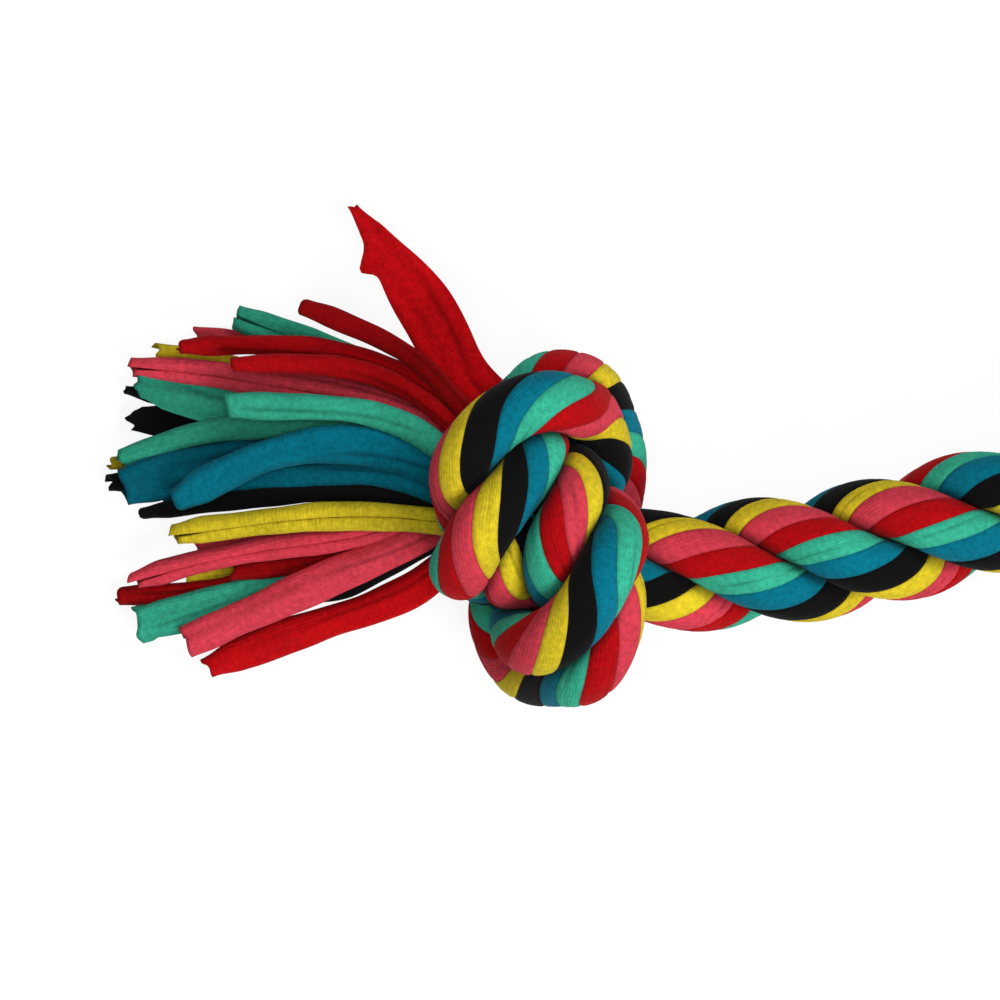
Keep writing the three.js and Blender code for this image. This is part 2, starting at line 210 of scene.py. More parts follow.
def layStrands():
    # three helices about the route, pressed apart until they lie side by side
    knot = np.add(rope["knotPoints"], rope["knotCentre"])
    axis = smoothLine(np.vstack([rope["points"], knot]), rope["pathStep"])
    count = len(axis)
    whole = arcsOf(axis)[-1]

    def arcAt(p):
        return whole * np.linalg.norm(axis - p, axis=1).argmin() / (count - 1)

    start = rope["middleTurns"]
    stationArcs = [0, arcAt(knot[0])]
    stationTurns = [start, start + arcAt(knot[0]) / rope["lay"]]
    for place, gained in rope["turns"].items():
        stationArcs.append(arcAt(knot[place]))
        stationTurns.append(stationTurns[-1] + gained)
    turns = np.interp(np.linspace(0, whole, count), stationArcs, stationTurns)
    _, normal, side = carriedFrame(axis, (0, 0, 1))
    radius = layRadius()
    place = np.arange(count)
    holds = (place * rope["pathStep"] < rope["lay"] / 2) | (place > count - rope["heldTail"])
    chains = []
    for n in range(3):
        angle = 2 * np.pi * (turns + n / 3)[:, None]
        helix = axis + radius * (np.cos(angle) * normal + np.sin(angle) * side)
        chains.append((helix, rope["pathStep"], rope["strandRadius"], holds))
    return np.array(pressApart(chains, rope["smoothing"], -rope["restFlat"]))


def layRadius():
    # radius of the helix on which three strands lie just side by side, by halving
    along = np.arange(0, rope["lay"] / 4, rope["lay"] / 400)  # a quarter turn in a hundred parts
    angle = 2 * np.pi * (1 / 3 - along / rope["lay"])
    low, high = 0.0, 50.0  # mm
    for _ in range(50):
        half = (low + high) / 2
        least = np.hypot(2 * half * np.sin(angle / 2), along).min()
        low, high = (half, high) if least < 2 * rope["strandRadius"] + press["clearance"] else (low, half)
    return high


turned = np.array((-1, -1, 1))  # half a turn about Z: the far end is the near end's twin

# tucks: jersey gives where the solids can't: middle, shift and reach of each place that is drawn in, mm

tucks = [
    ((-124, -1, 42), (8, 7, 0), 12), ((-114, -25, 38), (0, 9, 0), 10), ((-112, 19, 50), (0.5, 3, 0), 10),
    ((-114, 27, 34), (12, -6, 0), 9), ((-95, 36, 34), (2, -0.8, 0), 9), ((-77, 3, 47), (-2.5, -6, 0), 10),
    ((-78, 14, 46), (-2.5, 5, 0), 6), ((-97, -42, 35), (3, 5.5, 0), 15), ((-75, -26, 40), (-3, 1, 0), 10),
    ((-104, -29, 50), (-3, -4.5, 0), 9), ((-96, 12, 50), (3.5, 3.5, 3.5), 7),
    ((-92, 5, 50), (0, -2.5, 0), 7), ((-108, -28, 46), (-3.5, 0, 0), 6), ((-81, 15, 38), (-4.5, 2, 0), 7),
    ((-82, 25, 32), (1.8, 1.8, 0), 8), ((-62, -14, 26), (0, -0.5, 0), 12),
    ((-90, -41, 38), (0.6, -0.8, 0), 8), ((-109, -34, 18), (2.5, 0, 0), 8),
    ((-81, 3, 18), (-1.8, 0, 0), 7), ((-84, -31, 28), (-2.2, 0.8, 0), 8),
    ((-106, 27, 34), (0, 0.9, 0), 7), ((-38, -9, 27), (0, -0.9, 0), 15),
]


def drawnIn(lines):
    # each point moves with every tuck, by a share that falls off with distance in a bell curve
    moved = lines.copy()
    for middle, shift, reach in tucks:
        share = np.exp(-((lines - middle) ** 2).sum(-1) / (2 * reach**2))
        moved += share[..., None] * np.array(shift)
    return moved


def twinOf(n):
    return (4 - n) % 3  # strand whose turned copy carries on strand n past the middle


nearLines = layStrands()
tails = nearLines[:, -1]
nearLines = drawnIn(nearLines)
print("strands laid:", nearLines.shape[1], "places each")

# jersey: one knit for six dyes

dyes = {  # sRGB, 0 to 255
    "red": (178, 6, 13),
    "pink": (212, 62, 78),
    "yellow": (220, 196, 39),
    "black": (6, 6, 6),
    "blue": (0, 114, 136),
    "green": (56, 178, 146),
}
clothUnit = 10  # mm of cloth to one unit of its UV map
knit = {
    "wale": 0.62,  # width of one column of stitches, mm
    "course": 0.46,  # height of one row of stitches, mm
    "mottle": (900.0, 3.0),  # scale per metre and detail of each noise
    "fade": (70.0, 2.0),
    "wobble": (160.0, 1.0),
    "drift": 1.6,  # of columns and rows with the wobble, in stitches
    "rib": 0.7,  # heights of column, stitches and mottle, in bumps
    "vee": 0.22,
    "fuzz": 0.35,
    "bump": 0.00018,  # depth of the stitches, m
    "bumpStrength": 0.5,
    "stitchShade": (0.13, 0.9),  # shade = first x value + second; this one paints the stitches' low parts darker, as shade
    "mottleShade": (0.9, 0.55),
    "fadeShade": (0.44, 0.78),
    # painted shade in grooves, creases, between strips and where strands touch darkens the colour by this
    "paintedShadeGain": (-0.62, 1.0),
    "surface": {"Roughness": 0.88, "Specular IOR Level": 0.08, "Sheen Weight": 0.02, "Sheen Roughness": 0.5},
}


def linear(colour):
    # sRGB to linear light
    c = np.array(colour) / 255
    return tuple(np.where(c <= 0.04045, c / 12.92, ((c + 0.055) / 1.055) ** 2.4)) + (1,)


def makeKnitGroup():
    # columns of V stitches over the cloth's own width and length, with a mottle: Shade about 1, Height 0 to
    # 1. Shade holds painted shade: the stitches' low parts darker, and each piece's painted shade and
    # brightness multiplied in
    group = bpy.data.node_groups.new("jerseyKnit", "ShaderNodeTree")
    socket = group.interface.new_socket
    for name in ("Cloth", "Place"):
        socket(name, in_out="INPUT", socket_type="NodeSocketVector")
    # the second input brings painted shade, the third each piece's brightness: partly its fabric's tone,
    # partly painted light and shade
    for name, value in (("Across", 0.0), ("Seam", 0.0), ("ToneAndShade", 1.0)):
        socket(name, in_out="INPUT", socket_type="NodeSocketFloat").default_value = value
    for name in ("Shade", "Height"):
        socket(name, in_out="OUTPUT", socket_type="NodeSocketFloat")
    nodes, links = group.nodes, group.links
    given = nodes.new("NodeGroupInput")
    result = nodes.new("NodeGroupOutput")

    def math(operation, a, b=0.0, c=0.0):
        node = nodes.new("ShaderNodeMath")
        node.operation = operation
        for socket, value in zip(node.inputs, (a, b, c)):
            if isinstance(value, (int, float)):
                socket.default_value = value
            else:
                links.new(value, socket)
        return node.outputs[0]

    def noise(scale, detail):
        node = nodes.new("ShaderNodeTexNoise")
        node.inputs["Scale"].default_value = scale
        node.inputs["Detail"].default_value = detail
        links.new(given.outputs["Place"], node.inputs["Vector"])
        return node.outputs["Fac"]

    split = nodes.new("ShaderNodeSeparateXYZ")
    links.new(given.outputs["Cloth"], split.inputs[0])
    width, length = split.outputs[0], split.outputs[1]
    across = given.outputs["Across"]
    column = math("ADD", width, math("MULTIPLY", across, math("SUBTRACT", length, width)))
    row = math("ADD", length, math("MULTIPLY", across, math("SUBTRACT", width, length)))
    wobble = math("MULTIPLY", math("SUBTRACT", noise(*knit["wobble"]), 0.5), knit["drift"])
    column = math("ADD", math("MULTIPLY", column, clothUnit / knit["wale"]), wobble)
    row = math("ADD", math("MULTIPLY", row, clothUnit / knit["course"]), wobble)
    fromMiddle = math("ABSOLUTE", math("SUBTRACT", math("FRACT", column), 0.5))  # 0 in its middle
    rib = math("SUBTRACT", 1.0, math("MULTIPLY", math("MULTIPLY", fromMiddle, fromMiddle), 4.0))
    vees = math("SINE", math("MULTIPLY", math("ADD", row, fromMiddle), 2 * np.pi))
    stitch = math("MULTIPLY_ADD", vees, knit["vee"], math("MULTIPLY", rib, knit["rib"]))
    grain = noise(*knit["mottle"])
    fade = noise(*knit["fade"])
    height = math("MULTIPLY_ADD", grain, knit["fuzz"], stitch)
    # painted shade of the stitches' relief: their low parts darker
    shade = math("MULTIPLY_ADD", stitch, *knit["stitchShade"])
    # a mottle and a fade of the yarn, then the painted shade
    for value, key in ((grain, "mottleShade"), (fade, "fadeShade"), (given.outputs["Seam"], "paintedShadeGain")):
        shade = math("MULTIPLY", shade, math("MULTIPLY_ADD", value, *knit[key]))
    # the piece's brightness: partly its fabric's tone, partly painted light and shade
    shade = math("MULTIPLY", shade, given.outputs["ToneAndShade"])
    links.new(shade, result.inputs["Shade"])
    links.new(height, result.inputs["Height"])
    return group


def makeJersey(dye, group):
    material = bpy.data.materials.new("jersey_" + dye)
    nodes, links = nodesOf(material)
    shader = nodes["Principled BSDF"]
    for socket, value in knit["surface"].items():
        shader.inputs[socket].default_value = value
    cloth = nodes.new("ShaderNodeUVMap")
    cloth.uv_map = "cloth"
    place = nodes.new("ShaderNodeTexCoord")
    fabric = nodes.new("ShaderNodeGroup")
    fabric.node_tree = group
    links.new(cloth.outputs["UV"], fabric.inputs["Cloth"])
    links.new(place.outputs["Object"], fabric.inputs["Place"])
    for name in ("Across", "Seam", "ToneAndShade"):
        read = nodes.new("ShaderNodeAttribute")
        read.attribute_name = name.lower()
        links.new(read.outputs["Fac"], fabric.inputs[name])
    tint = nodes.new("ShaderNodeMix")
    tint.data_type, tint.blend_type = "RGBA", "MULTIPLY"
    tint.inputs["Factor"].default_value = 1.0
    tint.inputs["A"].default_value = linear(dyes[dye])
    links.new(fabric.outputs["Shade"], tint.inputs["B"])
    links.new(tint.outputs["Result"], shader.inputs["Base Color"])
    bump = nodes.new("ShaderNodeBump")
    bump.inputs["Strength"].default_value = knit["bumpStrength"]
    bump.inputs["Distance"].default_value = knit["bump"]
    links.new(fabric.outputs["Height"], bump.inputs["Height"])
    links.new(bump.outputs["Normal"], shader.inputs["Normal"])
    return material


knitGroup = makeKnitGroup()
jerseys = {dye: makeJersey(dye, knitGroup) for dye in dyes}
print("jersey ready:", ", ".join(jerseys))


def makePiece(name, points, quads, cloth, attributes, materials, faceMaterial=None):
    # points in mm, quads of corners, cloth as width and length in mm at each corner of each quad
    mesh = bpy.data.meshes.new(name)
    mesh.vertices.add(len(points))
    mesh.vertices.foreach_set("co", (points * mm).astype(np.float32).ravel())
    mesh.loops.add(quads.size)
    mesh.loops.foreach_set("vertex_index", quads.astype(np.int32).ravel())
    mesh.polygons.add(len(quads))
    mesh.polygons.foreach_set("loop_start", np.arange(0, quads.size, 4, dtype=np.int32))
    mesh.polygons.foreach_set("use_smooth", np.ones(len(quads), bool))
    for material in materials:
        mesh.materials.append(material)
    if faceMaterial is not None:
        mesh.polygons.foreach_set("material_index", faceMaterial.astype(np.int32))
    uv = mesh.uv_layers.new(name="cloth")
    uv.data.foreach_set("uv", (cloth / clothUnit).astype(np.float32).ravel())
    for key, values in attributes.items():
        made = mesh.attributes.new(key, "FLOAT", "POINT")
        made.data.foreach_set("value", np.broadcast_to(values, len(points)).astype(np.float32))
    mesh.update(calc_edges=True)
    mesh.validate()
    return placed(name, mesh)


# strands: six bands of jersey twisted against the lay, squeezed flat where they touch

strand = {
    "ropeRadius": 6.95,  # on the clear rope, mm
    "knotRadius": 6.9,  # in the knots
    "knotRise": (74, 16),  # from this arc and over this length
    "step": 0.8,  # between rings
    "softening": 5,  # rounds, of the middle line
    "trim": 14.0,  # short of the solids' tails, where the strips part
    "ropePitch": (43.0, 47.0, 39.0),  # length in which the bands go once round, for each strand
    "ropeStart": (0.375, 0.333, 0.569),  # turns of the bands at the rope's middle
    "knotPitch": (49.0, 40.5, 45.5),
    "knotStart": (0.431, 0.581, 0.492),
    "change": (88.0, 118.0),  # from the rope's twist to the knot's, hidden in the knot's core
    "slack": ((288.0, 32.0, 1 / 6), (220.0, 60.0, 0.09), (145.0, 35.0, 0.2)),  # arc, length and turns lost
    "bands": ("green", "red", "pink", "yellow", "black", "blue"),
    "share": (1.0, 1.0, 1.0, 0.88, 1.16, 0.96),  # of the way round, for each band
    "columns": 14,  # of faces on one band
    "wander": 0.05,  # of a band's edge to and fro, in bands
    "bandShift": 100.0,  # of each band's place on the knit, mm
    "groove": (0.2, 0.5),  # depth and width between bands
    "fold": (0.15, 0.4),  # depth and width of the crease within a band
    "crown": 0.1,
    "edgeShade": (0.4, 0.3),  # painted shade in the groove at a band's edges: strength and width
    # painted shade in the crease within a band: strength and width
    "foldShade": (0.6, 0.26),
    "touchShade": (0.8, 1.4),  # painted shade where strands touch: strength and width
    "gap": 0.06,  # kept to the middle between two strands
    "leastRoom": 0.5,
    "roomSoftening": 2,
    "corner": 9.0,  # sharpness of a flattened strand's edges
    "roomReach": 2.1,  # how far neighbours are looked for, in radii
    "ownSpan": 3.2,  # along a strand that isn't its own neighbour, in radii
    "dish": ((0.6, 0.7), (0.25, 1.2), (0.02, 1.3)),  # over an end: shares of its width, and depths
    "ropeArc": 60,  # the seams lie within this arc of the middle
    "seams": (-19.0, 19.0),  # x at which one stretch meets the next
}


def roomAround(lines, own, dirs):
    # distance along each direction to the planes halfway to all neighbouring strands, and to the floor
    line = lines[own]
    others = np.vstack([l[::2] for l in lines])
    owner = np.concatenate([np.full(len(l[::2]), k) for k, l in enumerate(lines)])
    index = np.concatenate([np.arange(len(l))[::2] for l in lines])
    reach = strand["roomReach"] * strand["knotRadius"]
    ownSpan = strand["ownSpan"] * strand["knotRadius"] / strand["step"]
    free, least = 1e3, 1e-6  # room with nothing near, and a guard
    room = np.full(dirs.shape[:2], free)
    for k, p in enumerate(line):
        away = others - p
        distance = np.linalg.norm(away, axis=1)
        near = (distance < reach) & ((owner != own) | (np.abs(index - k) > ownSpan))
        if near.any():
            facing = dirs[k] @ away[near].T
            half = 0.5 * distance[near] ** 2 - strand["gap"] * distance[near]
            room[k] = np.where(facing > least, half / np.maximum(facing, least), free).min(1)
    down = np.maximum(-dirs[..., 2], least)
    return np.minimum(room, line[:, None, 2] / down)


def bandEdges(s, n):
    # edges of the bands round the strand, in turns, each wandering a little along it
    share = np.array(strand["share"]) / sum(strand["share"])
    even = np.concatenate([[0], np.cumsum(share)])[:-1]
    k = np.arange(6)
    slow = s[:, None] / (9.0 + 1.7 * k) + 2.1 * k + 1.3 * n  # lengths in mm, and phases
    quick = s[:, None] / 4.3 + 1.1 * k * k + n
    edges = even + strand["wander"] / 6 * (np.sin(slow) + 0.6 * np.sin(quick))
    return np.concatenate([edges, edges[:, :1] + 1], 1)


def bandTwist(s, n):
    # turns of the bands along the strand: one rate on the rope, eased into another in the near knot
    onRope = s / strand["ropePitch"][n] + strand["ropeStart"][n]
    inKnot = s / strand["knotPitch"][n] + strand["knotStart"][n]
    first, last = strand["change"]
    whole = np.round(np.interp((first + last) / 2, s, inKnot - onRope))
    place, length, lost = strand["slack"][n]
    turns = onRope + eased((s - first) / (last - first)) * (inKnot - whole - onRope)
    return turns - lost * eased((s - place) / length)


def bandRelief(s, n, v, band, width):
    # height and painted shade across each band: a low crown, a groove at its edges and a crease that comes
    # and goes, the groove and crease also darkened as painted shade
    fromEdge = np.minimum(v, 1 - v) * width
    crease = 0.5 + 0.16 * np.sin(s[:, None] / 13 + 2.4 * band + n)
    shown = eased(0.25 + 0.9 * np.sin(s[:, None] / 11 + 1.9 * band * band + 2 * n))
    fromCrease = np.abs(v - crease) * width
    depth, across = strand["groove"]
    relief = strand["crown"] * (1 - (2 * v - 1) ** 2) - depth * bell(fromEdge, across)
    depth, across = strand["fold"]
    relief = relief - depth * shown * bell(fromCrease, across)
    # painted shade in the groove and in the crease
    dark, across = strand["edgeShade"]
    creaseDark, creaseAcross = strand["foldShade"]
    shade = dark * bell(fromEdge, across) + creaseDark * shown * bell(fromCrease, creaseAcross)
    return relief, shade


def strandGrid(lines, arcs, frames, n):
    # rings of points: centre + radius along a direction that turns with the bands
    line, s = lines[n], arcs[n]
    _, normal, side = frames[n]
    columns = strand["columns"]
    v = 0.5 - 0.5 * np.cos(np.pi * np.arange(columns) / columns)  # closer together near a band's edges
    edges = bandEdges(s, n)
    u = (edges[:, :-1, None] + (edges[:, 1:] - edges[:, :-1])[..., None] * v).reshape(len(s), -1)
    angle = 2 * np.pi * (u - bandTwist(s, n)[:, None])
    dirs = np.cos(angle)[..., None] * normal[:, None] + np.sin(angle)[..., None] * side[:, None]
    begin, over = strand["knotRise"]
    inKnot = eased((np.abs(s) - begin) / over)
    radius = (strand["ropeRadius"] + (strand["knotRadius"] - strand["ropeRadius"]) * inKnot)[:, None]
    room = roomAround(lines, n, dirs)
    corner = strand["corner"]
    pressed = radius**-corner + np.maximum(room, strand["leastRoom"]) ** -corner
    pressed = pressed ** (-1 / corner)  # the lesser of the two, with a soft corner
    pressed = softened(np.minimum(pressed, room), strand["roomSoftening"])
    band = np.repeat(np.arange(6), columns)
    width = 2 * np.pi * radius / 6
    relief, shade = bandRelief(s, n, np.tile(v, 6), band, width)
    # painted shade where strands touch, darkest at the contact
    dark, across = strand["touchShade"]
    shade = shade + dark * bell(np.maximum(room - pressed, 0), across)
    points = line[:, None] + (pressed + relief)[..., None] * dirs
    points[..., 2] = np.maximum(points[..., 2], floorGap)
    return points, np.clip(shade, 0, 1), width[:, 0], band


def ringQuads(rings, columns):
    # ring and column at which each quad starts, and its four corners
    k, j = np.meshgrid(np.arange(rings - 1), np.arange(columns), indexing="ij")
    a, b, nextJ = k * columns, (k + 1) * columns, (j + 1) % columns
    return k, j, np.stack([a + j, a + nextJ, b + nextJ, b + j], 2)


def cornerCloth(widths, lengths):
    return np.stack([widths, lengths], 3).reshape(-1, 4, 2)


def makeStretch(name, grid, s, first, last):
    # rings first to last of one strand, with a shallow dish over an end that isn't a seam
    points, seam, width, band = grid
    columns = points.shape[1]
    rows, dark, arc, widths = (v[first:last + 1] for v in (points, seam, s, width))
    for isSeam, end, inward in ((first > 0, 0, 1), (last < len(s) - 1, -1, -1)):
        if isSeam:
            continue
        middle = rows[end].mean(0)
        back = unit(rows[end + 3 * inward].mean(0) - middle)
        dish = [middle + share * (rows[end] - middle) + depth * back for share, depth in strand["dish"]]
        extra = [np.array(dish[::-inward])] + [np.repeat(v[[end]], len(dish), 0) for v in (dark, arc, widths)]
        both = zip((rows, dark, arc, widths), extra)
        rows, dark, arc, widths = (np.concatenate([b, a] if end == 0 else [a, b]) for a, b in both)
    k, j, quads = ringQuads(len(rows), columns)
    per = strand["columns"]
    v = np.arange(per + 1) / per
    lift = strand["bandShift"] * band[j]
    left, right = v[j % per] * widths[k] + lift, v[j % per + 1] * widths[k] + lift
    cloth = cornerCloth(np.stack([left, right, right, left], 2), np.repeat(arc, columns)[quads])
    # painted shade in the grooves and creases of the bands and where strands touch
    attributes = {"across": 0.0, "seam": dark.ravel(), "toneandshade": 1.0}
    materials = [jerseys[dye] for dye in strand["bands"]]
    quads = quads.reshape(-1, 4)
    return makePiece(name, rows.reshape(-1, 3), quads, cloth, attributes, materials, band[j].ravel())


def wholeStrands():
    # middle lines from tassel to tassel, their arcs from the rope's middle and their frames
    lines, arcs, frames = [], [], []
    cut = round(strand["trim"] / strand["step"])
    for n in range(3):
        twin = nearLines[twinOf(n)] * turned
        joined = np.vstack([twin[:0:-1], nearLines[n]])
        whole = softened(smoothLine(joined, strand["step"]), strand["softening"])[cut:-cut]
        middle = np.abs(whole[:, 0]).argmin()
        arc = arcsOf(whole)
        along = unit(np.gradient(whole, axis=0))
        first = np.cross(along[middle], (0, 1, 0))
        ahead = carriedFrame(whole[middle:], first)
        behind = carriedFrame(whole[middle::-1], first)
        normal = np.vstack([behind[1][:0:-1], ahead[1]])
        lines.append(whole)
        arcs.append(arc - arc[middle])
        frames.append((along, normal, np.cross(along, normal)))
    return lines, arcs, frames


def makeStrands():
    lines, arcs, frames = wholeStrands()
    nearSeam, farSeam = strand["seams"]
    for n in range(3):
        grid = strandGrid(lines, arcs, frames, n)
        x = lines[n][:, 0]
        inRope = np.abs(arcs[n]) < strand["ropeArc"]
        toFar = np.where(inRope & (x < farSeam))[0][0]
        toNear = np.where(inRope & (x < nearSeam))[0][0]
        number = str(n + 1)
        far = makeStretch("far_rope_strand_" + number, grid, arcs[n], 0, toFar)
        mid = makeStretch("middle_rope_strand_" + number, grid, arcs[n], toFar, toNear)
        near = makeStretch("near_rope_strand_" + number, grid, arcs[n], toNear, len(x) - 1)
        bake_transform(near)
        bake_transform(mid)
        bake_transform(far)
        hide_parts("near_strand_" + number)
        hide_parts("middle_near_strand_" + number, "middle_far_strand_" + number)
        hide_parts("far_strand_" + number)
    print("strands made:", sum(len(l) for l in lines), "rings")


makeStrands()

# tassel: strips of jersey rolled at their edges, each from its strand's end to a cut tip

tassel = {
    "cloth": 0.8,  # thickness of the jersey, mm
    "step": 1.1,  # between rings
    "softening": 4,  # rounds, of the middle line
    "bundle": 5.5,  # radius of the strips together at a strand's end
    "roots": ((-6, 0.7), (-5, 0.9), (-4, 1.0)),  # places on the strand, with shares of the spread
    "rootFlat": 0.08,  # half of the flat part, and the flap, where a strip starts
    "rootFlap": 0.03,
    "swellFrom": 5,  # where a strip starts to spread from its tight root
    "swell": 11.0,  # length over which it spreads
    "roll": 1.15,  # radius of a rolled edge
    "parts": (6, 10, 5),  # points on half a section: flat part, rolled edge and flap
    "leastWidth": 10.2,  # of a strip as it was cut
    "bulge": 0.32,  # rise of a strip's back, as a share of its flat part
    "lean": (0.25, 0.18),  # most tilt and most swing to and fro, rad
    "leanLength": (14, 26),
    "leanFrom": (10, 20),  # from and over these lengths
    "widthSway": 0.07,
    "swayLength": (5, 9),
    # painted shade in a crease, low down between strips, on the shell's inside and at the root
    "shades": {"crease": 0.7, "inside": 0.6, "low": 0.2, "root": 0.5},
}
balls = {  # they stand for the strips while these are pressed apart
    "step": 4.0,
    "most": 2.3,  # radius, mm
    "swellFrom": 7,
    "held": 8,  # length at the root that isn't pressed
    "smoothing": 0.2,
    "knotPart": slice(40, -6),  # places of the strands that strips keep clear of
    "give": 0.3,  # of these strands, mm
}
openStrip = {  # lies open, its edges hardly rolled
    "taper": (0.45, 0.55, 1.6),  # from and over these shares of the length, with this power
    "roll": 5.0,
    "turn": 0.35,
    "edge": 1.7,  # taken from half of its width by the roll
    "leastFlat": 0.3,
    "flap": 0.05,
    "lift": 0.1,  # of its middle line over its underside, in radii of the roll
}
rolledStrip = {
    "opening": {"flare": 0.75, "groove": 0.08, "tube": 0.16},  # share of the turn lost at the tip
    "widening": 0.35,
    "leastFlat": 0.25,
    "flap": {"flare": 0.85, "groove": 0.96, "tube": 0.85},  # as a share of the flat part
    "lift": 0.9,
}
creases = {
    "ripple": 0.12,  # heights, mm
    "crease": 0.3,
    "wave": 0.22,
    "creaseWidth": 0.45,
    "creaseReach": 0.22,  # of the crease to and fro, as a share of the strip's width
    "creaseLength": (22, 34),
    "waveFrom": (5, 3),  # a strip's width from and over which waves grow
}
cutEnd = {
    "length": 9,  # over which a strip changes towards its cut
    "slant": 1.6,  # most slant, mm
    "jag": {"torn": 1.2},  # depth of the cut's waves, mm
    "usualJag": 0.55,
    "jagRate": (3, 5),
    "fine": (0.3, 8),  # share and rate of smaller waves
    "leafShare": 0.35,
    "pinch": {"leaf": (0.55, 0.6), "broad": (0.1, 0.3), "torn": (0.1, 0.3)},  # least and most width lost
    "usualPinch": (0.05, 0.4),
    "pinchLength": 7,
}

# which strand opens into each lock, and its strips: dye, shape, width, brightness (partly the fabric's own
# tone, partly painted light and shade), route from root to tip, mm

